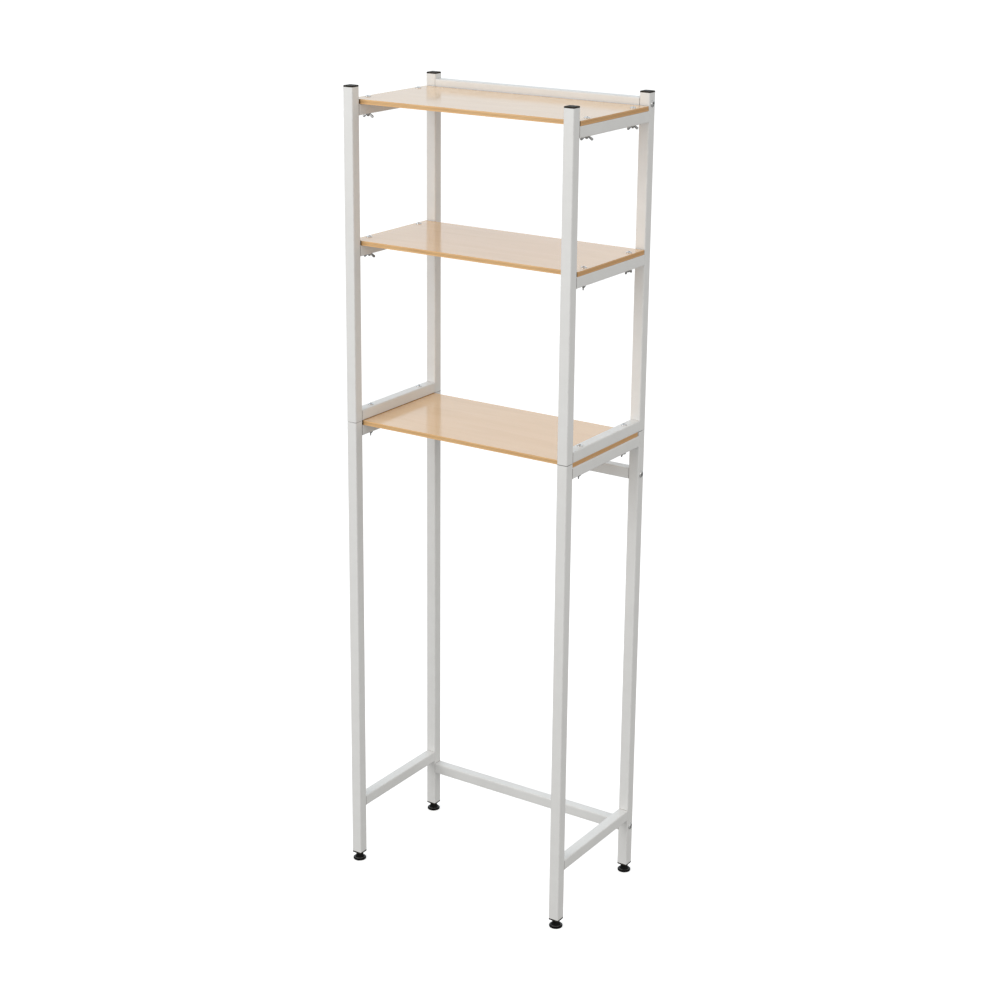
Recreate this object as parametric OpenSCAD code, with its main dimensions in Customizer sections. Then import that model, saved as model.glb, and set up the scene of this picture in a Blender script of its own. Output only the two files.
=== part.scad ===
// Storage rack that stands over a toilet: two side frames of square tube, three back rails
// between the rear uprights, and three boards bolted to the side frames.
// Each side frame comes in two storeys. The upper one stands on the lower one, and the lowest
// board is clamped between them.
// Millimetres. The origin is the centre of the footprint on the floor, with +X to the right,
// +Y towards the wall and +Z up.

/* [Rack] */
// Width across the outer faces of the uprights
rack_w = 510; // [440:2:640]
// Depth across the outer faces of the uprights
rack_d = 294; // [260:2:360]
// Height of the open top end of the upright tubes
post_top_z = 1623.5; // [1623.5:0.5:1760]
// Height of the open bottom end of the leg tubes, with the feet screwed home
leg_bottom_z = 19; // [19:0.5:24]

/* [Square tube] */
// Outside width of the tube
tube = 22; // [20:0.5:23]
// Wall thickness of the tube
wall = 1.2; // [1:0.1:1.4]
// Outside corner radius of the tube
tube_r = 2.4; // [1.6:0.1:3]

/* [Shelves] */
// Thickness of a board
board_t = 9; // [8:0.5:12]
// Gap between a board and the uprights in front of it and behind it
board_gap = 2; // [1:0.5:5]
// Height of the upper face of the top board
top_board_z = 1599.5; // [1500:0.5:1602]
// Height of the upper face of the middle board
middle_board_z = 1327; // [1200:0.5:1400]
// Height of the upper face of the lower board, where the two storeys meet
lower_board_z = 965; // [940:1:1050]
// Distance of the lower board's ends from the outer faces of the side frames
lower_board_inset = 2.5; // [0.5:0.5:5]
// Distance of the other boards' ends from the outer faces of the side frames
board_inset = 0.5; // [0.5:0.5:5]
// Distance of each shelf bolt from the middle of the depth
bolt_y = 83; // [60:1:90]

/* [Rails] */
// Height of the middle of the back rail behind the top board
top_back_rail_z = 1603; // [1560:0.5:1604]
// Height of the middle of the back rail below the lower board
middle_back_rail_z = 875; // [820:1:884]
// Height of the middle of the back rail near the floor
bottom_back_rail_z = 104.5; // [90:0.5:112]
// Height of the middle of the bottom side rails
bottom_side_rail_z = 132.5; // [125:0.5:180]

/* [Hardware] */
// Thread diameter of the shelf bolts
bolt_d = 5; // [4:0.5:6]
// Tip to tip span of a wing nut
wing_span = 24.5; // [20:0.5:27]
// Thread diameter of the screws that hold the back rails
screw_d = 6; // [5:0.5:7]
// Head diameter of the screws that hold the back rails
screw_head_d = 14; // [11:0.5:15]

/* [Feet] */
// Diameter of the round base of a levelling foot
foot_d = 27; // [24:0.5:32]
// Thread diameter of the stud of a levelling foot
stud_d = 8; // [6:0.5:8]

/* [Hidden] */
$fn = 48;
eps = 0.01;
LEFT = -1;
RIGHT = 1;
FRONT = -1;
REAR = 1;
// The four uprights: the end of the node's name, the side in X and the side in Y
CORNERS = [
    ["front_left", LEFT, FRONT],
    ["front_right", RIGHT, FRONT],
    ["rear_left", LEFT, REAR],
    ["rear_right", RIGHT, REAR],
];
SIDES = [["left", LEFT], ["right", RIGHT]];

// Uprights
post_x = rack_w / 2 - tube / 2;
post_y = rack_d / 2 - tube / 2;
bay_w = rack_w - 2 * tube;
bay_d = rack_d - 2 * tube;
seam_z = lower_board_z;
bore_side = tube - 2 * wall;
bore_r = tube_r - wall / 2;

// Side rails: the end of the node's name and the height of the rail's middle.
// The bolted ones carry a board or press on one.
SHELF_RAILS = [
    ["top_shelf_rail", top_board_z - board_t - tube / 2],
    ["middle_shelf_rail", middle_board_z - board_t - tube / 2],
    ["clamp_rail", lower_board_z + tube / 2],
    ["support_rail", lower_board_z - board_t - tube / 2],
];
BACK_RAILS = [
    ["top_back_rail", top_back_rail_z],
    ["middle_back_rail", middle_back_rail_z],
    ["bottom_back_rail", bottom_back_rail_z],
];

// Boards: the node's name, the height of the upper face and the inset of the ends
BOARDS = [
    ["top_board", top_board_z, board_inset],
    ["middle_board", middle_board_z, board_inset],
    ["lower_board", lower_board_z, lower_board_inset],
];
board_d = bay_d - 2 * board_gap;

// Shelf bolts and wing nuts. A set is one board's four bolts: the end of the node's name, the
// height that the heads bear on, the height of the rail underside that the nuts bear on, and
// how far each nut's wings are turned, in the order of CORNERS.
BOLT_SETS = [
    ["top", top_board_z, top_board_z - board_t - tube, [5, 33, 100, 60]],
    ["middle", middle_board_z, middle_board_z - board_t - tube, [15, 118, 75, 88]],
    ["lower", lower_board_z + tube, lower_board_z - board_t - tube, [122, 112, 50, 100]],
];
bolt_hole_d = bolt_d + 0.5;
bolt_head_d = 2.36 * bolt_d;
bolt_head_h = 0.52 * bolt_d;
bolt_tail = 1.5;
nut_h = 4.5;
nut_top_d = 10;
nut_end_d = 8;
wing_t = 2;
wing_tip_r = 2.7;
wing_tip_drop = 6.5;

// Back rail screws and the threaded plugs that they enter
screw_hole_d = screw_d + 0.6;
screw_head_h = 3.2;
plug_l = 25;
screw_l = tube + plug_l - 5;
plug_fit = 0.2;

// Joiners in the uprights
joiner_l = 80;
joiner_side = bore_side - 0.4;
joiner_wall = 1.5;

// Post caps and foot inserts
flange_t = 3;
cap_crown = 0.5;
cap_skirt_l = 12;
insert_l = 25;
skirt_side = bore_side - 0.2;
skirt_wall = 1.6;
web_t = 1.6;
boss_d = 12;

// Levelling feet
thread_fit = 0.05;
foot_clear = 0.5;
neck_top_z = leg_bottom_z - flange_t - foot_clear;
neck_r = 7.2;
base_edge_h = 3.2;
base_chamfer = 0.8;
shoulder_r = 9.6;
shoulder_z = 6.2;
stud_bottom_z = 3.2;
stud_top_z = 43;

// ---- Shapes that repeat ----

// Outline of a square with rounded corners
module rounded_square(side, r) {
    square([side, side - 2 * r], center = true);
    square([side - 2 * r, side], center = true);
    for (x = [-1, 1], y = [-1, 1])
        translate([x * (side / 2 - r), y * (side / 2 - r)])
            circle(r = r);
}

// Solid square bar from z = 0 upwards
module square_bar(side, r, length) {
    linear_extrude(length)
        rounded_square(side, r);
}

// Hollow square tube from z = 0 upwards
module square_tube(side, r, thickness, length) {
    difference() {
        square_bar(side, r, length);
        translate([0, 0, -1])
            square_bar(side - 2 * thickness, r - thickness / 2, length + 2);
    }
}

// The frame's own tube, lying along Y and centred on the origin
module tube_along_y(length) {
    translate([0, length / 2, 0])
        rotate([90, 0, 0])
            square_tube(tube, tube_r, wall, length);
}

// The frame's own tube, lying along X and centred on the origin
module tube_along_x(length) {
    translate([-length / 2, 0, 0])
        rotate([90, 0, 90])
            square_tube(tube, tube_r, wall, length);
}

// Rounded screw head from z = 0 upwards: a slice of a ball on a short rim
module domed_head(d, h) {
    rim = 0.3 * h;
    rise = h - rim;
    ball_r = (d * d / 4 + rise * rise) / (2 * rise);
    intersection() {
        cylinder(d = d, h = h);
        translate([0, 0, h - ball_r])
            sphere(r = ball_r, $fn = 96);
    }
}

// Cross recess, cut down from z = 0
module cross_recess(size, depth) {
    slot = 0.2 * size;
    for (turn = [0, 90])
        rotate(turn)
            translate([-size / 2, -slot / 2, -depth])
                cube([size, slot, depth + 1]);
    translate([0, 0, -1.2 * depth])
        cylinder(d1 = slot, d2 = 2.2 * slot, h = 1.2 * depth + 1);
}

// Screw that points down, with its head bearing on z = 0
module cross_screw(d, head_d, head_h, length, turn) {
    difference() {
        union() {
            domed_head(head_d, head_h);
            translate([0, 0, -length])
                cylinder(d = d, h = length + eps);
            translate([0, 0, -length - 0.6])
                cylinder(d1 = d - 1.2, d2 = d, h = 0.6 + eps);
        }
        translate([0, 0, head_h])
            rotate(turn)
                cross_recess(0.55 * head_d, 0.6 * head_h);
    }
}

// Push-in plastic plug from z = 0 upwards: a square skirt, a boss and four webs
module ribbed_plug(length, bore_d) {
    difference() {
        union() {
            square_tube(skirt_side, bore_r, skirt_wall, length);
            cylinder(d = boss_d, h = length);
            for (turn = [0, 90])
                rotate(turn)
                    translate([-skirt_side / 2 + eps, -web_t / 2, 0])
                        cube([skirt_side - 2 * eps, web_t, length]);
        }
        if (bore_d > 0)
            translate([0, 0, -1])
                cylinder(d = bore_d, h = length + 2);
    }
}

// ---- Frame ----

// Holes through a rear upright for the screw of a back rail
module back_rail_holes(sx, heights) {
    for (z = heights)
        translate([sx * post_x, post_y, z])
            rotate([0, 90, 0])
                cylinder(d = screw_hole_d, h = tube + 2, center = true);
}

module upper_post(sx, sy) {
    color("white")
        difference() {
            translate([sx * post_x, sy * post_y, seam_z])
                square_tube(tube, tube_r, wall, post_top_z - seam_z);
            if (sy == REAR)
                back_rail_holes(sx, [top_back_rail_z]);
        }
}

module lower_leg(sx, sy) {
    color("white")
        difference() {
            translate([sx * post_x, sy * post_y, leg_bottom_z])
                square_tube(tube, tube_r, wall, seam_z - leg_bottom_z);
            if (sy == REAR)
                back_rail_holes(sx, [middle_back_rail_z, bottom_back_rail_z]);
        }
}

// Short steel sleeve inside the joint between an upper post and a lower leg
module post_joiner(sx, sy) {
    color("silver")
        translate([sx * post_x, sy * post_y, seam_z - joiner_l / 2])
            square_tube(joiner_side, bore_r, joiner_wall, joiner_l);
}

// Side rail welded between a front and a rear upright, with holes for the shelf bolts
module shelf_rail(sx, z) {
    color("white")
        difference() {
            translate([sx * post_x, 0, z])
                tube_along_y(bay_d);
            for (y = [-bolt_y, bolt_y])
                translate([sx * post_x, y, z])
                    cylinder(d = bolt_hole_d, h = tube + 2, center = true);
        }
}

module bottom_side_rail(sx) {
    color("white")
        translate([sx * post_x, 0, bottom_side_rail_z])
            tube_along_y(bay_d);
}

module back_rail(z) {
    color("white")
        translate([0, post_y, z])
            tube_along_x(bay_w);
}

// ---- Boards ----

module board(top_z, inset) {
    board_w = rack_w - 2 * inset;
    color("burlywood")
        difference() {
            translate([-board_w / 2, -board_d / 2, top_z - board_t])
                cube([board_w, board_d, board_t]);
            for (x = [-post_x, post_x], y = [-bolt_y, bolt_y])
                translate([x, y, top_z - board_t - 1])
                    cylinder(d = bolt_hole_d, h = board_t + 2);
        }
}

// ---- Fasteners ----

// One board's four bolts, pointing down
module shelf_bolts(head_z, nut_z) {
    length = head_z - nut_z + nut_h + bolt_tail;
    color("silver")
        for (i = [0 : 3])
            translate([CORNERS[i][1] * post_x, CORNERS[i][2] * bolt_y, head_z])
                cross_screw(bolt_d, bolt_head_d, bolt_head_h, length, 20 + 35 * i);
}

// Outline of a wing nut's two wings, in the plane of its axis
module wing_outline() {
    tip_x = wing_span / 2 - wing_tip_r;
    for (side = [-1, 1]) {
        translate([side * tip_x, -wing_tip_drop])
            circle(r = wing_tip_r);
        polygon([
            [side * (bolt_d / 2 + 1), -0.4],
            [side * (nut_top_d / 2 - 0.6), -0.4],
            [side * (tip_x + 0.75 * wing_tip_r), -wing_tip_drop + 0.66 * wing_tip_r],
            [side * (tip_x - 0.75 * wing_tip_r), -wing_tip_drop - 0.66 * wing_tip_r],
            [side * (bolt_d / 2 + 1), -nut_h + 0.3],
        ]);
    }
}

// Wing nut that hangs down from z = 0, wings along X
module wing_nut() {
    difference() {
        union() {
            translate([0, 0, -nut_h])
                cylinder(d1 = nut_end_d, d2 = nut_top_d, h = nut_h);
            translate([0, wing_t / 2, 0])
                rotate([90, 0, 0])
                    linear_extrude(wing_t)
                        wing_outline();
        }
        translate([0, 0, -nut_h - 1])
            cylinder(d = bolt_d + 2 * thread_fit, h = nut_h + 2);
    }
}

// One board's four wing nuts
module wing_nuts(nut_z, turns) {
    color("silver")
        for (i = [0 : 3])
            translate([CORNERS[i][1] * post_x, CORNERS[i][2] * bolt_y, nut_z])
                rotate(turns[i])
                    wing_nut();
}

// Threaded plugs inside both ends of each back rail
module back_rail_plugs() {
    side = bore_side - plug_fit;
    color("silver")
        for (r = BACK_RAILS, sx = [LEFT, RIGHT])
            translate([sx * bay_w / 2, post_y, r[1]])
                rotate([0, -90 * sx, 0])
                    difference() {
                        square_bar(side, bore_r, plug_l);
                        translate([0, 0, -1])
                            cylinder(d = screw_d + 2 * thread_fit, h = plug_l + 2);
                    }
}

// Screws driven through the rear uprights from their outer sides
module back_rail_screws() {
    color("silver")
        for (i = [0 : 2], sx = [LEFT, RIGHT])
            translate([sx * rack_w / 2, post_y, BACK_RAILS[i][1]])
                rotate([0, 90 * sx, 0])
                    cross_screw(screw_d, screw_head_d, screw_head_h, screw_l, 30 + 25 * i);
}

// ---- Plastic ends and feet ----

// Cap pushed into the top of an upright
module post_cap(sx, sy) {
    color("black")
        translate([sx * post_x, sy * post_y, post_top_z]) {
            square_bar(tube, tube_r, flange_t);
            translate([0, 0, flange_t - eps])
                square_bar(tube - 2 * cap_crown, tube_r, cap_crown + eps);
            translate([0, 0, -cap_skirt_l])
                square_tube(skirt_side, bore_r, skirt_wall, cap_skirt_l + eps);
        }
}

// Threaded plastic insert pushed into the bottom of a leg
module foot_insert(sx, sy) {
    bore_d = stud_d + 2 * thread_fit;
    color("black")
        translate([sx * post_x, sy * post_y, leg_bottom_z]) {
            ribbed_plug(insert_l, bore_d);
            translate([0, 0, -flange_t])
                difference() {
                    square_bar(tube, tube_r, flange_t + eps);
                    translate([0, 0, -1])
                        cylinder(d = bore_d, h = flange_t + 3);
                }
        }
}

// Steel stud of a levelling foot
module foot_stud(sx, sy) {
    color("silver")
        translate([sx * post_x, sy * post_y, stud_bottom_z]) {
            cylinder(d = stud_d, h = stud_top_z - stud_bottom_z - 1);
            translate([0, 0, stud_top_z - stud_bottom_z - 1 - eps])
                cylinder(d1 = stud_d, d2 = stud_d - 2, h = 1 + eps);
        }
}

// Half section of a foot's base: a chamfered rim, a domed top and a neck with a hollow flare
function base_section(r) = concat(
    [[0, 0], [r - base_chamfer, 0], [r, base_chamfer], [r, base_edge_h]],
    [for (a = [15 : 15 : 75])
        [
            shoulder_r + (r - shoulder_r) * cos(a),
            base_edge_h + (shoulder_z - base_edge_h) * sin(a),
        ]],
    [for (a = [0 : 15 : 90])
        [
            shoulder_r - (shoulder_r - neck_r) * sin(a),
            shoulder_z + (shoulder_r - neck_r) * (1 - cos(a)),
        ]],
    [[neck_r, neck_top_z - 0.5], [neck_r - 0.5, neck_top_z], [0, neck_top_z]]
);

// Moulded round base of a levelling foot, with the hole that holds the stud
module foot_base(sx, sy) {
    color("black")
        translate([sx * post_x, sy * post_y, 0])
            difference() {
                rotate_extrude(convexity = 4)
                    polygon(base_section(foot_d / 2));
                translate([0, 0, stud_bottom_z - 0.2])
                    cylinder(d = stud_d + 2 * thread_fit, h = neck_top_z);
            }
}

// ---- The nodes ----

for (c = CORNERS) {
    upper_post(c[1], c[2]);
    lower_leg(c[1], c[2]);
    post_joiner(c[1], c[2]);
    post_cap(c[1], c[2]);
    foot_insert(c[1], c[2]);
    foot_stud(c[1], c[2]);
    foot_base(c[1], c[2]);
}
for (r = SHELF_RAILS, s = SIDES)
    shelf_rail(s[1], r[1]);
for (s = SIDES)
    bottom_side_rail(s[1]);
for (r = BACK_RAILS)
    back_rail(r[1]);
back_rail_plugs();
back_rail_screws();
for (b = BOARDS)
    board(b[1], b[2]);
for (s = BOLT_SETS) {
    shelf_bolts(s[1], s[2]);
    wing_nuts(s[2], s[3]);
}
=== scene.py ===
"""Over the toilet storage rack: finishes, fine pieces, floor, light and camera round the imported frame.

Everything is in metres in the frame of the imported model: X to the right, Y to the back, Z up from the floor.
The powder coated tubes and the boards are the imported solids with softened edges. Small moulded and
turned pieces (caps, feet, bolts, screws, wing nuts) are built here in finer mesh and stand for theirs.
"""
import math

import bmesh
import bpy
from mathutils import Matrix, Vector

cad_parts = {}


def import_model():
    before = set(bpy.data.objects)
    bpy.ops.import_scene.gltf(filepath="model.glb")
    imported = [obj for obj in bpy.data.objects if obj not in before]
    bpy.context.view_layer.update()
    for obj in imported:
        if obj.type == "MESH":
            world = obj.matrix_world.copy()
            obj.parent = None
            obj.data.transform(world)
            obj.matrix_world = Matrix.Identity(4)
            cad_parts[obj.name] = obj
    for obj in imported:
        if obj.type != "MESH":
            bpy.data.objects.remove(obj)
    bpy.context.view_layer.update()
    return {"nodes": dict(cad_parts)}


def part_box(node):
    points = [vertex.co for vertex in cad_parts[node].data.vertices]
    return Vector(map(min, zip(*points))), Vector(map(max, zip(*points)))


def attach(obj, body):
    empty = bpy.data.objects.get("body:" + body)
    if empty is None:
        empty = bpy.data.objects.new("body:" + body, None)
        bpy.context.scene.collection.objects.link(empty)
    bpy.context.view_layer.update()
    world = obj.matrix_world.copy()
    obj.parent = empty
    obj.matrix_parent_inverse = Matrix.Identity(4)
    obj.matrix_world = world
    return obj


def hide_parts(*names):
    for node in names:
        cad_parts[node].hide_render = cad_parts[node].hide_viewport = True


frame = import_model()
NODES = frame["nodes"]

MM = 0.001
CORNERS = ("front_left", "front_right", "rear_left", "rear_right")
SIDES = ("left", "right")
TIERS = ("top", "middle", "lower")

# Reach of the dark band of painted shade at the seam in each upright.
SEAM_SHADE_FULL = 0.55 * MM
SEAM_SHADE_FADE = 0.95 * MM

# Reach of two vertices that are one, and the turn below which two faces are one flat.
WELD_REACH = 0.001 * MM
FLAT_TURN = 0.5

# How far the plies in a board's edge wander, as a share of its thickness.
PLY_WANDER = 0.08

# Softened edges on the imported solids.
TUBE_BEVEL = 0.55 * MM
BOARD_BEVEL = 0.9 * MM
PLASTIC_BEVEL = 0.3 * MM

# Fasteners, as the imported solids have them.
BOLT_HEAD_R = 5.9 * MM
BOLT_HEAD_H = 2.6 * MM
BOLT_R = 2.5 * MM
BOLT_PITCH = 0.8 * MM
BOLT_THREAD = 0.42 * MM
SCREW_HEAD_R = 7.0 * MM
SCREW_HEAD_H = 3.2 * MM
SCREW_R = 3.0 * MM
SCREW_PITCH = 1.0 * MM
SCREW_THREAD = 0.5 * MM
SCREW_LENGTH = 26 * MM
# Turn of each wing nut in degrees, in the order of bolt_places.
WING_TURNS = {
    "top": (5, 33, 100, 60),
    "middle": (15, 118, 75, 88),
    "lower": (122, 112, 50, 100),
}
STUD_PITCH = 1.25 * MM
STUD_THREAD = 0.62 * MM
RINGS_A_PITCH = 8


# ---------------------------------------------------------------- mesh helpers


def bridge(bm, low, high):
    """Joins two rings of vertices, where either may be a single point."""
    n = max(len(low), len(high))
    for i in range(n):
        j = (i + 1) % n
        if len(low) == 1:
            bm.faces.new((low[0], high[j], high[i]))
        elif len(high) == 1:
            bm.faces.new((low[i], low[j], high[0]))
        else:
            bm.faces.new((low[i], low[j], high[j], high[i]))


def loft(bm, rings):
    """Skins rings of points from the bottom up. A ring of one point closes the skin."""
    made = [[bm.verts.new(p) for p in ring] for ring in rings]
    for low, high in zip(made, made[1:]):
        bridge(bm, low, high)
    return [v for ring in made for v in ring]


def circle(radius, height, steps):
    """A ring round the Z axis, or its one point when the radius is 0."""
    if radius <= 0:
        return [Vector((0, 0, height))]
    turns = [2 * math.pi * i / steps for i in range(steps)]
    return [Vector((radius * math.cos(t), radius * math.sin(t), height)) for t in turns]


def lathe(bm, profile, steps=48):
    """Turns (radius, height) pairs round the Z axis."""
    return loft(bm, [circle(r, z, steps) for r, z in profile])


def rounded_square(half, radius, height, steps=8):
    """A square ring with round corners, anticlockwise."""
    radius = min(radius, half)
    ring = []
    for quarter in range(4):
        base = math.pi / 2 * quarter
        cx = (half - radius) * (1 if quarter in (0, 3) else -1)
        cy = (half - radius) * (1 if quarter in (0, 1) else -1)
        for i in range(steps + 1):
            t = base + math.pi / 2 * i / steps
            ring.append(Vector((cx + radius * math.cos(t), cy + radius * math.sin(t), height)))
    return ring


def threaded(bm, radius, depth, pitch, low, high, steps):
    """A closed threaded rod on the Z axis from low to high, its ridge a single start helix."""
    count = max(2, round((high - low) / pitch * RINGS_A_PITCH))
    rings = [[Vector((0, 0, low))], circle(radius - depth * 1.3, low, steps)]
    for k in range(1, count):
        z = low + (high - low) * k / count
        near_end = min(z - low, high - z)
        fade = min(1.0, near_end / (0.7 * pitch))
        ring = []
        for i in range(steps):
            turn = i / steps
            phase = (z / pitch - turn) % 1.0
            ridge = 1 - abs(2 * phase - 1)
            height = max(0.0, min(1.0, ridge * 1.35 - 0.1))
            r = radius - depth * (1 - height) - 0.4 * depth * (1 - fade)
            angle = 2 * math.pi * turn
            ring.append(Vector((r * math.cos(angle), r * math.sin(angle), z)))
        rings.append(ring)
    rings += [circle(radius - depth * 1.3, high, steps), [Vector((0, 0, high))]]
    return loft(bm, rings)


def finished(bm, name, material, smooth_angle=35):
    """Turns the bmesh into an object with its material, smooth except at sharp edges."""
    bmesh.ops.recalc_face_normals(bm, faces=bm.faces)
    mesh = bpy.data.meshes.new(name)
    bm.to_mesh(mesh)
    bm.free()
    mesh.shade_smooth()
    mesh.set_sharp_from_angle(angle=math.radians(smooth_angle))
    obj = bpy.data.objects.new(name, mesh)
    bpy.context.scene.collection.objects.link(obj)
    if material is not None:
        mesh.materials.append(material)
    return obj


def applied(obj):
    """The object's mesh with its modifiers applied, and the object gone."""
    graph = bpy.context.evaluated_depsgraph_get()
    mesh = bpy.data.meshes.new_from_object(obj.evaluated_get(graph))
    bpy.data.objects.remove(obj)
    return mesh


def placed(bm, source, matrix):
    """Adds a copy of a mesh to bm at a place."""
    before = len(bm.verts)
    bm.from_mesh(source)
    bm.verts.ensure_lookup_table()
    bmesh.ops.transform(bm, matrix=matrix, verts=bm.verts[before:])


def add_bevel(obj, width, segments=2, angle=40):
    bevel = obj.modifiers.new("soft_edges", "BEVEL")
    bevel.width = width
    bevel.segments = segments
    bevel.limit_method = "ANGLE"
    bevel.angle_limit = math.radians(angle)
    bevel.harden_normals = False
    weighted = obj.modifiers.new("even_shading", "WEIGHTED_NORMAL")
    weighted.weight = 100
    weighted.keep_sharp = False


def soften(node, width, material):
    """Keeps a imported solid, with its edges softened and its finish improved."""
    obj = NODES[node]
    weld = obj.modifiers.new("joined", "WELD")
    weld.merge_threshold = WELD_REACH
    flatten = obj.modifiers.new("flat_faces", "DECIMATE")
    flatten.decimate_type = "DISSOLVE"
    flatten.angle_limit = math.radians(FLAT_TURN)
    add_bevel(obj, width)
    for slot in obj.material_slots:
        slot.material = material


# ------------------------------------------------------------------ materials


class Shader:
    """A small builder of node materials."""

    def __init__(self, name):
        self.material = bpy.data.materials.new(name)
        self.material.use_nodes = True
        self.tree = self.material.node_tree
        self.bsdf = next(n for n in self.tree.nodes if n.type == "BSDF_PRINCIPLED")
        self.coordinates = self.tree.nodes.new("ShaderNodeTexCoord")

    def node(self, kind, **values):
        made = self.tree.nodes.new(kind)
        for key, value in values.items():
            setattr(made, key, value)
        return made

    def link(self, source, target):
        self.tree.links.new(source, target)

    def feed(self, socket, value):
        if isinstance(value, bpy.types.NodeSocket):
            self.link(value, socket)
        else:
            socket.default_value = value

    def set(self, **values):
        for key, value in values.items():
            self.feed(self.bsdf.inputs[key.replace("_", " ")], value)

    def math(self, operation, a, b=0.0):
        made = self.node("ShaderNodeMath", operation=operation)
        for socket, value in zip(made.inputs, (a, b)):
            self.feed(socket, value)
        return made.outputs[0]

    def place(self, scale=(1, 1, 1)):
        """Object coordinates in metres, stretched."""
        made = self.node("ShaderNodeMapping")
        self.link(self.coordinates.outputs["Object"], made.inputs["Vector"])
        made.inputs["Scale"].default_value = scale
        return made.outputs[0]

    def noise(self, vector, scale, detail=3.0, rough=0.5, distortion=0.0):
        made = self.node("ShaderNodeTexNoise")
        self.link(vector, made.inputs["Vector"])
        made.inputs["Scale"].default_value = scale
        made.inputs["Detail"].default_value = detail
        made.inputs["Roughness"].default_value = rough
        made.inputs["Distortion"].default_value = distortion
        return made.outputs["Fac"]

    def ramp(self, value, *stops):
        """Colours or grey levels by position: (0.2, colour), (0.8, colour)."""
        made = self.node("ShaderNodeValToRGB")
        self.link(value, made.inputs[0])
        elements = made.color_ramp.elements
        while len(elements) < len(stops):
            elements.new(0.5)
        for element, (position, colour) in zip(elements, stops):
            element.position = position
            element.color = colour if isinstance(colour, tuple) else (colour,) * 3 + (1,)
        return made.outputs[0]

    def span(self, value, low, high, to_low=0.0, to_high=1.0):
        made = self.node("ShaderNodeMapRange")
        for name, number in (("From Min", low), ("From Max", high), ("To Min", to_low), ("To Max", to_high)):
            made.inputs[name].default_value = number
        self.feed(made.inputs["Value"], value)
        return made.outputs[0]

    def mix(self, factor, a, b, blend="MIX"):
        made = self.node("ShaderNodeMix", data_type="RGBA", blend_type=blend)
        self.feed(made.inputs["Factor"], factor)
        for socket, value in zip(made.inputs[6:8], (a, b)):
            self.feed(socket, value)
        return made.outputs[2]

    def bump(self, height, distance, strength):
        made = self.node("ShaderNodeBump")
        made.inputs["Strength"].default_value = strength
        made.inputs["Distance"].default_value = distance
        self.link(height, made.inputs["Height"])
        return made.outputs[0]

    def parts(self, vector):
        """The X, Y and Z parts of a vector."""
        made = self.node("ShaderNodeSeparateXYZ")
        self.link(vector, made.inputs[0])
        return made.outputs

    def vector_math(self, operation, vector, other=(0, 0, 0)):
        made = self.node("ShaderNodeVectorMath", operation=operation)
        self.link(vector, made.inputs[0])
        made.inputs[1].default_value = other
        return made.outputs

    def facing(self):
        """The size of each part of the surface's own direction: along X, Y and Z."""
        return [self.math("ABSOLUTE", part) for part in self.parts(self.coordinates.outputs["Normal"])]

    def hollow(self, distance, alone=True, shallow=0.75, deep=0.25):
        """1 deep in recesses and thread roots, 0 on open surface. Neighbours count unless alone."""
        made = self.node("ShaderNodeAmbientOcclusion", samples=8, only_local=alone)
        made.inputs["Distance"].default_value = distance
        return self.span(made.outputs["AO"], shallow, deep)

    def plies(self):
        """Grey levels of three plies and the glue lines between them, by height in the piece."""
        level = self.parts(self.coordinates.outputs["Generated"])["Z"]
        wander = self.math("MULTIPLY", self.noise(self.place(), 26, 3), 2 * PLY_WANDER)
        height = self.math("ADD", level, self.math("SUBTRACT", wander, PLY_WANDER))
        levels = ((0.27, 1.0), (0.33, 0.66), (0.40, 0.88), (0.58, 0.90), (0.65, 0.62), (0.72, 1.0))
        return self.ramp(height, *levels)

    def edge(self):
        """1 on rounded edges, where the surface faces no axis squarely, and 0 on flats."""
        x, y, z = self.facing()
        squarest = self.math("MAXIMUM", self.math("MAXIMUM", x, y), z)
        return self.span(squarest, 0.985, 0.80)


def grey(level, warm=0.0):
    return (level * (1 + warm), level, level * (1 - warm), 1)


def powder_coat(name, seam=None):
    """White powder coat: orange peel, faint mottling, thinner and greyer on the tube's edges, with painted
    shade where other parts come close.

    A seam is the height where two uprights meet; a broken dark band of painted shade lies along it, standing
    for the shadow in the gap.
    """
    s = Shader(name)
    where = s.place()
    mottle = s.noise(where, 34, 4, 0.55)
    fine = s.noise(where, 420, 2)
    edge = s.edge()
    rubbed = s.math("MULTIPLY", edge, s.span(s.noise(where, 90, 4, 0.7), 0.50, 0.72))
    colour = s.ramp(mottle, (0.3, (0.828, 0.825, 0.812, 1)), (0.7, (0.858, 0.856, 0.844, 1)))
    colour = s.mix(s.math("MULTIPLY", rubbed, 0.35), colour, grey(0.56, 0.012))
    # Painted shade: the coat turns warm dark brown where other parts come close, standing for the shadow in
    # crevices and joints.
    painted_crevice_shade = s.math("MULTIPLY", s.hollow(2.4 * MM, alone=False), 0.75)
    colour = s.mix(painted_crevice_shade, colour, (0.24, 0.20, 0.16, 1))
    # Painted shade: a broken dark band at the seam height, standing for the shadow in the gap between the
    # uprights.
    if seam is not None:
        away = s.math("ABSOLUTE", s.math("SUBTRACT", s.parts(where)["Z"], seam))
        broken = s.span(s.noise(where, 30, 2), 0.42, 0.58, 0.12, 0.9)
        painted_seam_shade = s.math("MULTIPLY", s.span(away, SEAM_SHADE_FADE, SEAM_SHADE_FULL, 0.0, 0.85), broken)
        colour = s.mix(painted_seam_shade, colour, (0.10, 0.095, 0.09, 1))
    roughness = s.math("ADD", s.span(fine, 0.3, 0.7, 0.33, 0.43), s.math("MULTIPLY", edge, -0.05))
    peel = s.noise(where, 620, 3, 0.5)
    s.set(
        Base_Color=colour,
        Roughness=roughness,
        IOR=1.5,
        Normal=s.bump(peel, 0.00012, 0.35),
    )
    return s.material


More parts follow.
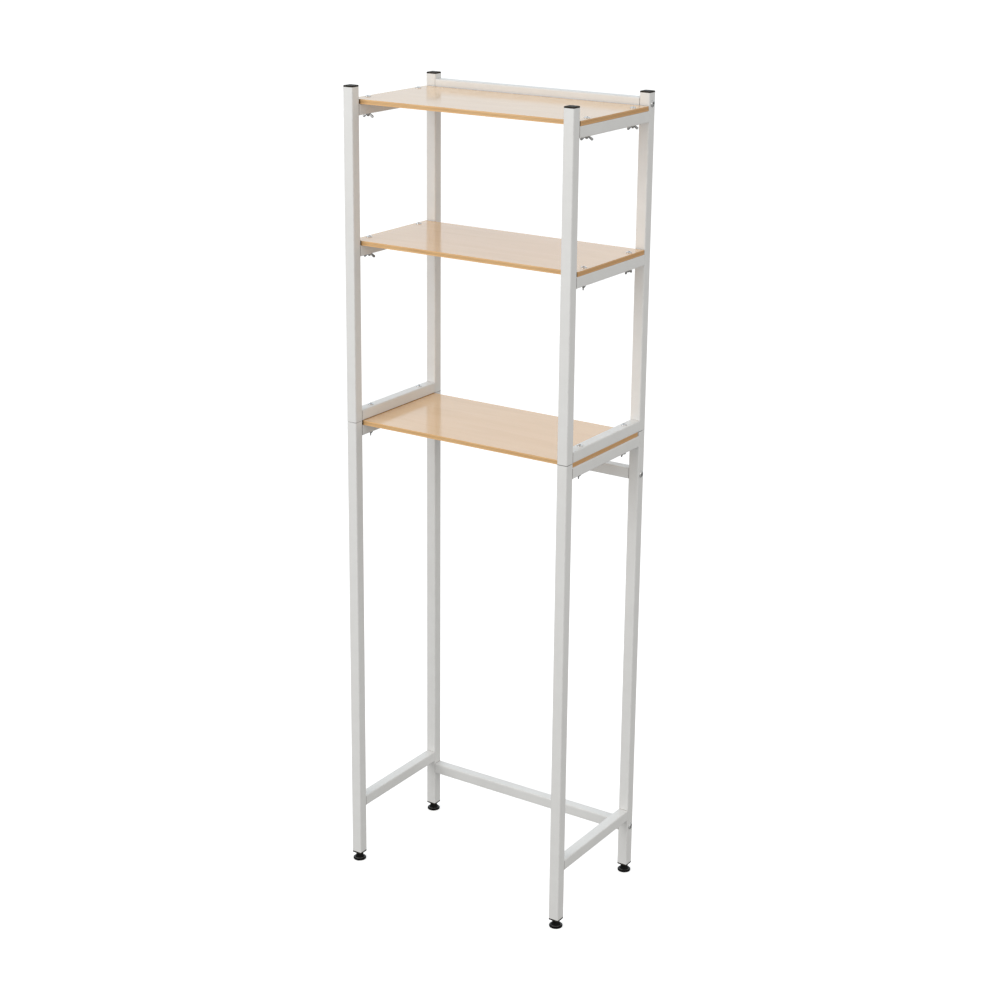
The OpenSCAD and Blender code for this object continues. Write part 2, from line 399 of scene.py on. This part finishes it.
def board_finish():
    """Pale wood faced board: grain along X, fine pores, more golden banded edges, a clear satin coat."""
    s = Shader("pale_wood_board")
    x, y, z = s.facing()
    top = s.span(z, 0.55, 0.85)
    figure = s.noise(s.place((1.4, 11, 60)), 2.2, 5, 0.55, 0.6)
    streak = s.noise(s.place((3.5, 150, 150)), 3.0, 4, 0.6)
    pore = s.noise(s.place((22, 900, 900)), 2.0, 2, 0.5)
    pores = s.span(pore, 0.63, 0.74)
    face = s.ramp(
        figure,
        (0.25, (0.865, 0.590, 0.345, 1)),
        (0.50, (0.900, 0.624, 0.374, 1)),
        (0.75, (0.925, 0.656, 0.405, 1)),
    )
    face = s.mix(s.span(streak, 0.35, 0.75, 0.0, 0.16), face, (0.725, 0.478, 0.256, 1))
    face = s.mix(s.math("MULTIPLY", pores, 0.13), face, (0.45, 0.29, 0.16, 1))
    along = s.mix(s.span(x, 0.5, 0.8), s.place((7, 60, 480)), s.place((60, 7, 480)))
    band = s.noise(along, 2.4, 5, 0.6, 0.3)
    edge = s.ramp(
        band,
        (0.25, (0.67, 0.360, 0.135, 1)),
        (0.50, (0.84, 0.505, 0.222, 1)),
        (0.78, (0.93, 0.645, 0.335, 1)),
    )
    end = s.span(x, 0.5, 0.8, 0.0, 0.5)
    edge = s.mix(end, edge, (0.68, 0.352, 0.135, 1))
    edge = s.mix(1.0, edge, s.plies(), "MULTIPLY")
    colour = s.mix(top, edge, face)
    # Painted shade: near black on the edges and dark brown on the faces where other parts come close, standing
    # for the shadow in the gaps by the uprights and rails.
    shade = s.mix(top, (0.06, 0.035, 0.02, 1), (0.66, 0.34, 0.11, 1))
    colour = s.mix(s.hollow(5 * MM, alone=False, shallow=0.78, deep=0.42), colour, shade)
    cloud = s.noise(s.place((5, 60, 60)), 3.0, 3)
    grain = s.math("ADD", s.math("MULTIPLY", streak, 0.6), s.math("MULTIPLY", pores, -0.5))
    s.set(
        Base_Color=colour,
        Roughness=s.math("ADD", s.span(cloud, 0.3, 0.7, 0.11, 0.15), s.span(top, 1, 0, 0.0, 0.32)),
        IOR=1.50,
        Normal=s.bump(grain, 0.00004, 0.2),
    )
    return s.material


def zinc_plate(name, dark, light):
    """Bright zinc plated steel: slightly cloudy passivation with fine pitting, with painted shade near black
    in recesses and thread roots.
    """
    s = Shader(name)
    where = s.place()
    cloud = s.noise(where, 260, 4, 0.6)
    fine = s.noise(where, 2600, 3, 0.5)
    colour = s.ramp(cloud, (0.3, grey(dark, -0.015)), (0.7, grey(light, 0.015)))
    # Painted shade: recesses and thread roots go near black, standing for the shadow in them.
    colour = s.mix(s.hollow(2.2 * MM, shallow=0.80, deep=0.45), colour, (0.02, 0.018, 0.016, 1))
    s.set(
        Base_Color=colour,
        Metallic=1.0,
        Roughness=s.span(cloud, 0.3, 0.7, 0.15, 0.26),
        Normal=s.bump(fine, 0.00004, 0.30),
    )
    return s.material


def plain_steel():
    """Drawn mild steel, hardly seen inside the tubes: darker, brushed along its length."""
    s = Shader("drawn_mild_steel")
    drawn = s.noise(s.place((1, 1, 0.08)), 1500, 3, 0.6)
    cloud = s.noise(s.place(), 120, 4, 0.6)
    s.set(
        Base_Color=s.ramp(cloud, (0.3, (0.30, 0.29, 0.28, 1)), (0.7, (0.44, 0.43, 0.42, 1))),
        Metallic=1.0,
        Roughness=s.span(drawn, 0.3, 0.7, 0.34, 0.52),
        Normal=s.bump(drawn, 0.00004, 0.3),
    )
    return s.material


def moulded_plastic(name, dark, light, warm, shine, low, high, grain, bead=None):
    """Black moulded plastic with a fine spark eroded grain.

    A bead is the radius of a lighter ring of painted highlight, as a share of the piece's width.
    """
    s = Shader(name)
    where = s.place()
    fine = s.noise(where, grain, 2, 0.5)
    blotch = s.noise(where, 150, 3, 0.6)
    colour = s.ramp(blotch, (0.3, grey(dark, warm)), (0.7, grey(light, warm)))
    if bead is not None:
        centred = s.vector_math("SUBTRACT", s.coordinates.outputs["Generated"], (0.5, 0.5, 0.5))
        flat = s.vector_math("MULTIPLY", centred["Vector"], (1, 1, 0))
        radius = s.vector_math("LENGTH", flat["Vector"])["Value"]
        away = s.math("ABSOLUTE", s.math("SUBTRACT", radius, bead))
        # Painted highlight: a lighter grey ring at the bead's radius, broken by the blotches, standing for the
        # glints along the ring.
        painted_ring_highlight = s.math("MULTIPLY", s.span(away, 0.030, 0.012), s.span(blotch, 0.38, 0.58, 0.3, 1.0))
        colour = s.mix(painted_ring_highlight, colour, grey(0.13, warm))
    s.set(
        Base_Color=colour,
        Roughness=s.span(blotch, 0.3, 0.7, low, high),
        IOR=1.42,
        Specular_IOR_Level=shine,
        Normal=s.bump(fine, 0.00005, 0.35),
    )
    return s.material


SEAM_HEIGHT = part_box("lower_leg_front_left")[1].z
POWDER = powder_coat("white_powder_coat")
SEAM_POWDER = powder_coat("white_powder_coat_uprights", SEAM_HEIGHT)
BOARD = board_finish()
# Metals are named with their darkest and lightest grey, plastics with how they shine and how fine they are.
# Two copies of one zinc plating with painted light: a darker one, painted shaded, for the studs and wing nuts,
# and a lighter one, painted lit as if reflecting a bright backdrop, for the bolt and screw heads.
ZINC = zinc_plate("zinc_plated_steel_painted_shaded", 0.22, 0.58)
LIT_ZINC_COPY = zinc_plate("zinc_plated_heads_painted_lit", 0.62, 0.86)
STEEL = plain_steel()
PLASTIC = moulded_plastic("black_moulded_plastic", 0.016, 0.028, 0.26, 0.22, 0.50, 0.64, 2400)
FOOT_PLASTIC = moulded_plastic("glossy_black_plastic", 0.003, 0.006, 0.03, 0.16, 0.12, 0.20, 1800, 0.392)


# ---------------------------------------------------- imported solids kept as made


def kept_tubes():
    for part in ("upper_post", "lower_leg"):
        for corner in CORNERS:
            soften(f"{part}_{corner}", TUBE_BEVEL, SEAM_POWDER)
    rails = ("top_shelf", "middle_shelf", "clamp", "support", "bottom_side")
    tubes = [f"{rail}_rail_{side}" for rail in rails for side in SIDES]
    tubes += [f"{tier}_back_rail" for tier in ("top", "middle", "bottom")]
    for tube in tubes:
        soften(tube, TUBE_BEVEL, POWDER)


def kept_rest():
    for tier in TIERS:
        soften(f"{tier}_board", BOARD_BEVEL, BOARD)
    for corner in CORNERS:
        soften(f"foot_insert_{corner}", PLASTIC_BEVEL, PLASTIC)
        soften(f"post_joiner_{corner}", PLASTIC_BEVEL, STEEL)
    soften("back_rail_plugs", PLASTIC_BEVEL, STEEL)


# --------------------------------------------------------------- pressed in caps


CAP_HEAD_H = 3.5 * MM
CAP_CROWN = 0.46 * MM
CAP_STEM = 9.45 * MM


def cap_shape(bm, low, high, rim):
    """A pressed in end cap: a tapered stem in the tube and a cushioned square head on its end."""
    flange = high.z - CAP_HEAD_H
    stem = CAP_STEM
    rings = [[Vector((0, 0, low.z))]]
    rings.append(rounded_square(stem - 2.2 * MM, 1.2 * MM, low.z))
    rings.append(rounded_square(stem - 0.8 * MM, 1.6 * MM, low.z))
    rings.append(rounded_square(stem - 0.35 * MM, 1.8 * MM, low.z + 1.0 * MM))
    rings.append(rounded_square(stem, 1.8 * MM, low.z + 3.0 * MM))
    rings.append(rounded_square(stem, 1.8 * MM, flange))
    rings.append(rounded_square(rim - 0.25 * MM, 2.0 * MM, flange))
    rings.append(rounded_square(rim, 2.2 * MM, flange + 0.25 * MM))
    rings.append(rounded_square(rim, 2.3 * MM, flange + 2.1 * MM))
    rings.append(rounded_square(rim - 0.18 * MM, 2.4 * MM, flange + 2.55 * MM))
    rings.append(rounded_square(rim - 0.60 * MM, 2.6 * MM, flange + 2.88 * MM))
    rings.append(rounded_square(rim - 1.20 * MM, 2.8 * MM, flange + 3.04 * MM))
    for share in (0.8, 0.6, 0.4, 0.2):
        rise = CAP_CROWN * (1 - share**2)
        half = (rim - 1.2 * MM) * share
        corner = min(half, 2.8 * MM + (1 - share) * 4 * MM)
        rings.append(rounded_square(half, corner, flange + 3.04 * MM + rise))
    rings.append([Vector((0, 0, high.z))])
    return loft(bm, rings)


def post_caps():
    for corner in CORNERS:
        node = f"post_cap_{corner}"
        low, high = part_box(node)
        centre = (low + high) / 2
        bm = bmesh.new()
        cap_shape(bm, low, high, (high.x - low.x) / 2)
        bmesh.ops.translate(bm, vec=(centre.x, centre.y, 0), verts=bm.verts)
        piece = finished(bm, f"cap_{corner}", PLASTIC, 50)
        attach(piece, "frame")
        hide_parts(node)


# ---------------------------------------------------------------- levelling feet


# The moulded base in millimetres: a disc, a bead round it and a neck up to the insert.
FOOT_PROFILE = (
    (0.0, 0.35), (8.6, 0.35), (9.0, 0.0), (12.8, 0.0), (13.3, 0.22), (13.5, 0.8), (13.5, 2.5),
    (13.38, 2.88), (13.05, 3.12), (12.4, 3.22), (11.85, 3.32), (11.5, 3.62), (11.32, 4.15),
    (11.1, 4.68), (10.7, 5.0), (10.2, 5.06), (9.75, 4.86), (9.45, 4.50), (9.15, 4.36),
    (8.8, 4.52), (8.5, 5.10), (8.2, 6.20), (7.9, 7.70), (7.6, 9.40), (7.38, 11.2), (7.24, 13.2),
    (7.20, 14.6),
    (7.08, 15.1), (6.75, 15.42), (6.2, 15.5), (0.0, 15.5),
)


def feet():
    for corner in CORNERS:
        low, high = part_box(f"foot_base_{corner}")
        centre = (low + high) / 2
        bm = bmesh.new()
        lathe(bm, [(r * MM, low.z + z * MM) for r, z in FOOT_PROFILE], 72)
        bmesh.ops.translate(bm, vec=(centre.x, centre.y, 0), verts=bm.verts)
        piece = finished(bm, f"foot_{corner}", FOOT_PLASTIC, 32)
        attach(piece, f"foot_{corner}")
        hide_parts(f"foot_base_{corner}")

        low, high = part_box(f"foot_stud_{corner}")
        bm = bmesh.new()
        threaded(bm, (high.x - low.x) / 2, STUD_THREAD, STUD_PITCH, low.z, high.z, 32)
        bmesh.ops.translate(bm, vec=(centre.x, centre.y, 0), verts=bm.verts)
        stud = finished(bm, f"stud_{corner}", ZINC, 50)
        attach(stud, f"foot_stud_{corner}")
        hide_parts(f"foot_stud_{corner}")


# --------------------------------------------------------------------- fasteners


SLOT_WIDTH = 0.27


def cross_cutter(radius, depth, top):
    """A tapered cross, as a driver's tip leaves in a screw head."""
    bm = bmesh.new()
    for turn in (0, math.pi / 2):
        rings = []
        for share, drop in ((1.0, -0.3), (0.92, 0.25), (0.45, 1.0)):
            length = radius * share
            width = radius * SLOT_WIDTH * (0.6 + 0.4 * share)
            z = top - depth * drop
            corners = ((-length, -width), (length, -width), (length, width), (-length, width))
            rings.append([Matrix.Rotation(turn, 3, "Z") @ Vector((x, y, z)) for x, y in corners])
        rings = [[Vector((0, 0, rings[0][0].z))]] + rings + [[Vector((0, 0, rings[-1][0].z))]]
        loft(bm, rings)
    return finished(bm, "cross_cutter", None)


def cross_head(profile, recess_r, recess_depth):
    """A screw head turned from its profile, with a cross recess cut in, made in millimetres."""
    bm = bmesh.new()
    lathe(bm, profile, 56)
    head = finished(bm, "head", None)
    top = max(z for _, z in profile)
    cutter = cross_cutter(recess_r, recess_depth, top)
    cut = head.modifiers.new("recess", "BOOLEAN")
    cut.operation = "DIFFERENCE"
    cut.solver = "EXACT"
    cut.use_self = True
    cut.object = cutter
    bpy.context.view_layer.update()
    mesh = applied(head)
    bpy.data.objects.remove(cutter)
    return mesh


def rod_mesh(radius, depth, pitch, low):
    """A threaded rod that hangs down to low and runs a little way into its head."""
    bm = bmesh.new()
    threaded(bm, radius, depth, pitch, low, INTO_HEAD, 20)
    bmesh.ops.recalc_face_normals(bm, faces=bm.faces)
    mesh = bpy.data.meshes.new("rod")
    bm.to_mesh(mesh)
    bm.free()
    return mesh


INTO_HEAD = 0.2 * MM

# Profiles of the heads in millimetres, as (radius, height) pairs from the seat up.
BOLT_HEAD = (
    (0.0, 0.0), (5.7, 0.0), (5.87, 0.12), (5.9, 0.38), (5.82, 0.75), (5.55, 1.15), (5.05, 1.58),
    (4.3, 1.98), (3.4, 2.28), (2.4, 2.48), (1.2, 2.58), (0.0, 2.6),
)
SCREW_HEAD = (
    (0.0, 0.0), (6.8, 0.0), (6.97, 0.12), (7.0, 0.4), (6.9, 0.85), (6.6, 1.35), (6.0, 1.92),
    (5.1, 2.42), (4.0, 2.8), (2.8, 3.04), (1.4, 3.17), (0.0, 3.2),
)


def bolt_places(tier):
    low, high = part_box(f"shelf_bolts_{tier}")
    xs = (low.x + BOLT_HEAD_R, high.x - BOLT_HEAD_R)
    ys = (low.y + BOLT_HEAD_R, high.y - BOLT_HEAD_R)
    return [(x, y) for y in ys for x in xs], low.z, high.z


def shelf_bolts():
    head = cross_head(BOLT_HEAD, 3.5, 1.9)
    for k, tier in enumerate(TIERS):
        places, low, high = bolt_places(tier)
        seat = high - BOLT_HEAD_H
        rod = rod_mesh(BOLT_R, BOLT_THREAD, BOLT_PITCH, low - seat)
        bm = bmesh.new()
        for i, (x, y) in enumerate(places):
            turn = Matrix.Rotation(math.radians(20 + 35 * (i + k)), 4, "Z")
            here = Matrix.Translation((x, y, seat)) @ turn
            placed(bm, head, here @ Matrix.Scale(MM, 4))
            placed(bm, rod, here)
        piece = finished(bm, f"bolts_{tier}", LIT_ZINC_COPY, 35)
        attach(piece, "frame")
        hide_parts(f"shelf_bolts_{tier}")


def back_rail_screws():
    head = cross_head(SCREW_HEAD, 4.3, 2.3)
    low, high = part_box("back_rail_screws")
    bm = bmesh.new()
    i = 0
    for tier in ("top", "middle", "bottom"):
        rail_low, rail_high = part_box(f"{tier}_back_rail")
        middle = (rail_low + rail_high) / 2
        for side in (-1, 1):
            outer = low.x if side < 0 else high.x
            seat = outer - side * SCREW_HEAD_H
            aim = Matrix.Rotation(side * math.pi / 2, 4, "Y")
            spin = Matrix.Rotation(math.radians(30 + 25 * i), 4, "Z")
            here = Matrix.Translation((seat, middle.y, middle.z)) @ aim @ spin
            rod = rod_mesh(SCREW_R, SCREW_THREAD, SCREW_PITCH, -SCREW_LENGTH)
            placed(bm, head, here @ Matrix.Scale(MM, 4))
            placed(bm, rod, here)
            i += 1
    piece = finished(bm, "rail_screws", LIT_ZINC_COPY, 35)
    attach(piece, "frame")
    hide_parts("back_rail_screws")


# --------------------------------------------------------------------- wing nuts


# Wing nuts, in millimetres. A wing is the hull of two circles, (x, z, radius).
NUT_H = 4.5
WING_ROOT = (3.3, -1.9, 1.75)
WING_TIP = (9.4, -6.6, 2.75)
WING_HALF = 1.15
WING_HOLLOW = 0.5


def capsule_outline(first, second, steps=14):
    """The outline round two circles (x, z, radius) and the straight lines that join them."""
    ax, az, ar = first
    bx, bz, br = second
    lean = math.atan2(bz - az, bx - ax)
    gap = math.hypot(bx - ax, bz - az)
    spread = math.acos((ar - br) / gap)
    points = []
    for i in range(steps + 1):
        t = lean - spread + 2 * spread * i / steps
        points.append((bx + br * math.cos(t), bz + br * math.sin(t)))
    for i in range(steps + 1):
        t = lean + spread + (2 * math.pi - 2 * spread) * i / steps
        points.append((ax + ar * math.cos(t), az + ar * math.sin(t)))
    return points


def wing(bm, side):
    """One ear of a wing nut, a slab with rounded rims."""
    outline = capsule_outline(WING_ROOT, WING_TIP)
    mx = sum(x for x, _ in outline) / len(outline)
    mz = sum(z for _, z in outline) / len(outline)

    def ring(share, y):
        points = [(mx + (x - mx) * share, mz + (z - mz) * share) for x, z in outline]
        return [Vector((side * x, y, z)) for x, z in points]

    half_levels = ((0.86, WING_HALF), (0.95, 1.0), (1.0, 0.5))
    levels = [(share, -y) for share, y in half_levels] + list(reversed(half_levels))
    rings = [ring(share, y) for share, y in levels]
    ends = [[Vector((side * mx, y, mz))] for y in (-WING_HALF, WING_HALF)]
    loft(bm, ends[:1] + rings + ends[1:])


def wing_nut_mesh():
    """A cast wing nut in millimetres, its seat at z 0 and its ears splayed down, hollowed on their faces."""
    bm = bmesh.new()
    boss = (
        (2.45, 0.0), (4.6, 0.0), (4.75, -0.25), (4.6, -1.2), (4.2, -2.6), (3.9, -NUT_H + 0.3),
        (3.6, -NUT_H), (2.45, -NUT_H), (2.45, 0.0),
    )
    lathe(bm, boss, 40)
    bmesh.ops.remove_doubles(bm, verts=bm.verts, dist=1e-4)
    for side in (-1, 1):
        wing(bm, side)
    nut = finished(bm, "nut", None)
    remesh = nut.modifiers.new("cast", "REMESH")
    remesh.mode = "VOXEL"
    remesh.voxel_size = 0.24
    smooth = nut.modifiers.new("fettled", "SMOOTH")
    smooth.factor = 0.5
    smooth.iterations = 4
    fewer = nut.modifiers.new("fewer", "DECIMATE")
    fewer.ratio = 0.22
    bpy.context.view_layer.update()
    mesh = applied(nut)
    tx, tz, tr = WING_TIP
    for v in mesh.vertices:
        away = math.hypot(abs(v.co.x) - tx, v.co.z - tz) / (0.82 * tr)
        if away < 1:
            v.co.y -= math.copysign(WING_HOLLOW * (1 - away**2) ** 2, v.co.y)
    return mesh


def wing_nuts():
    nut = wing_nut_mesh()
    for tier in TIERS:
        places, _, _ = bolt_places(tier)
        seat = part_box(f"wing_nuts_{tier}")[1].z
        bm = bmesh.new()
        for (x, y), turn in zip(places, WING_TURNS[tier]):
            here = Matrix.Translation((x, y, seat)) @ Matrix.Rotation(math.radians(turn), 4, "Z")
            placed(bm, nut, here @ Matrix.Scale(MM, 4))
        piece = finished(bm, f"wing_nut_set_{tier}", ZINC, 60)
        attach(piece, "frame")
        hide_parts(f"wing_nuts_{tier}")


# ------------------------------------------------------------------------- stage


FLOOR_HALF = 90.0


def floor():
    """A wide pale floor, which takes shadows and stays out of the pieces' own light."""
    bm = bmesh.new()
    half = FLOOR_HALF
    corners = ((-half, -half), (half, -half), (half, half), (-half, half))
    bm.faces.new([bm.verts.new((x, y, 0)) for x, y in corners])
    s = Shader("studio_floor")
    cloud = s.noise(s.place(), 1.5, 2)
    s.set(
        Base_Color=s.ramp(cloud, (0.3, grey(0.86)), (0.7, grey(0.88))),
        Roughness=0.9,
        Emission_Color=grey(1.0),
        Emission_Strength=0.5,
    )
    s.bsdf.inputs["Specular IOR Level"].default_value = 0.0
    obj = finished(bm, "studio_floor", s.material)
    obj.visible_diffuse = False
    obj.visible_glossy = False


WORLD_LOW = 0.39
WORLD_HIGH = 0.60
WORLD_FRONT = (0.15, -1.0, 0.10)
WORLD_FRONT_LEVEL = 0.11
WORLD_RIGHT = (1.0, -0.15, 0.12)
WORLD_RIGHT_LEVEL = 0.19
WORLD_GROUND_LEVEL = -0.14
WORLD_BACK = (-0.55, 0.82, 0.22)
WORLD_BACK_LEVEL = 0.64
WORLD_BACK_TINT = (0.80, 0.965, 1.12)
WORLD_TINT = (1.0, 0.995, 0.975)
WORLD_SEEN = 1.03


def world():
    """Soft light from all round, brighter overhead, with a cool bright backdrop low at the back left."""
    made = bpy.data.worlds.new("studio")
    bpy.context.scene.world = made
    made.use_nodes = True
    tree = made.node_tree
    tree.nodes.clear()

    def node(kind, **values):
        n = tree.nodes.new(kind)
        for key, value in values.items():
            setattr(n, key, value)
        return n

    def feed(socket, value):
        if isinstance(value, bpy.types.NodeSocket):
            tree.links.new(value, socket)
        else:
            socket.default_value = value

    def calc(operation, *values):
        n = node("ShaderNodeMath", operation=operation)
        for socket, value in zip(n.inputs, values):
            feed(socket, value)
        return n.outputs[0]

    def toward(direction, low, high, to_low=0.0, to_high=1.0):
        """Smoothly from to_low to to_high as the cosine with a direction passes from low to high."""
        dot = node("ShaderNodeVectorMath", operation="DOT_PRODUCT")
        tree.links.new(where, dot.inputs[0])
        dot.inputs[1].default_value = Vector(direction).normalized()
        span = node("ShaderNodeMapRange", interpolation_type="SMOOTHSTEP")
        tree.links.new(dot.outputs["Value"], span.inputs["Value"])
        ends = (("From Min", low), ("From Max", high), ("To Min", to_low), ("To Max", to_high))
        for name, number in ends:
            span.inputs[name].default_value = number
        return span.outputs[0]

    def tinted(colour, level):
        n = node("ShaderNodeVectorMath", operation="SCALE")
        n.inputs[0].default_value = colour
        tree.links.new(level, n.inputs["Scale"])
        return n.outputs[0]

    where = node("ShaderNodeTexCoord").outputs["Generated"]
    level = toward((0, 0, 1), -0.25, 1.0, WORLD_LOW, WORLD_HIGH)
    level = calc("ADD", level, toward((0, 0, -1), 0.0, 0.4, 0.0, WORLD_GROUND_LEVEL))
    level = calc("ADD", level, toward(WORLD_FRONT, 0.0, 0.95, 0.0, WORLD_FRONT_LEVEL))
    level = calc("ADD", level, toward(WORLD_RIGHT, 0.0, 0.95, 0.0, WORLD_RIGHT_LEVEL))
    back = calc("MULTIPLY", toward(WORLD_BACK, 0.60, 0.94), toward((0, 0, 1), 0.05, 0.30, 0.72, 1.12))
    camera_ray = node("ShaderNodeLightPath").outputs["Is Camera Ray"]
    level = calc("MAXIMUM", level, calc("MULTIPLY", camera_ray, WORLD_SEEN))
    both = node("ShaderNodeVectorMath", operation="ADD")
    tree.links.new(tinted(WORLD_TINT, level), both.inputs[0])
    tree.links.new(tinted(WORLD_BACK_TINT, calc("MULTIPLY", back, WORLD_BACK_LEVEL)), both.inputs[1])
    shade = node("ShaderNodeBackground")
    tree.links.new(both.outputs[0], shade.inputs["Color"])
    out = node("ShaderNodeOutputWorld")
    tree.links.new(shade.outputs[0], out.inputs["Surface"])


def area_light(name, at, aim, size, watts):
    data = bpy.data.lights.new(name, "AREA")
    data.shape = "SQUARE"
    data.size = size
    data.energy = watts
    obj = bpy.data.objects.new(name, data)
    bpy.context.scene.collection.objects.link(obj)
    obj.location = at
    obj.rotation_euler = (Vector(aim) - Vector(at)).to_track_quat("-Z", "Y").to_euler()


LIGHTS_AIM = (0, 0, 1.2)


def lights():
    area_light("fill", (3.3, -0.9, 1.95), LIGHTS_AIM, 0.8, 6)
    area_light("key", (-1.2, -3.1, 2.35), LIGHTS_AIM, 2.6, 50)


CAMERA_LENS = 72.15
CAMERA_SENSOR = 36.0
CAMERA_SHIFT_Y = -0.0745
CAMERA_AT = (2.0761, -3.1673, 2.0962)
CAMERA_TURN = 33.107
CAMERA_TILT = 90 - 16.637
CAMERA_ROLL = 0.5742


def camera():
    data = bpy.data.cameras.new("camera")
    data.lens = CAMERA_LENS
    data.sensor_width = CAMERA_SENSOR
    data.shift_y = CAMERA_SHIFT_Y
    data.clip_end = 200.0
    obj = bpy.data.objects.new("camera", data)
    bpy.context.scene.collection.objects.link(obj)
    turn = Matrix.Rotation(math.radians(CAMERA_TURN), 4, "Z")
    tilt = Matrix.Rotation(math.radians(CAMERA_TILT), 4, "X")
    roll = Matrix.Rotation(math.radians(CAMERA_ROLL), 4, "Z")
    obj.matrix_world = Matrix.Translation(CAMERA_AT) @ turn @ tilt @ roll
    bpy.context.scene.camera = obj


kept_tubes()
kept_rest()
post_caps()
feet()
shelf_bolts()
back_rail_screws()
wing_nuts()
floor()
world()
lights()
camera()
bpy.context.scene.view_settings.view_transform = "Standard"
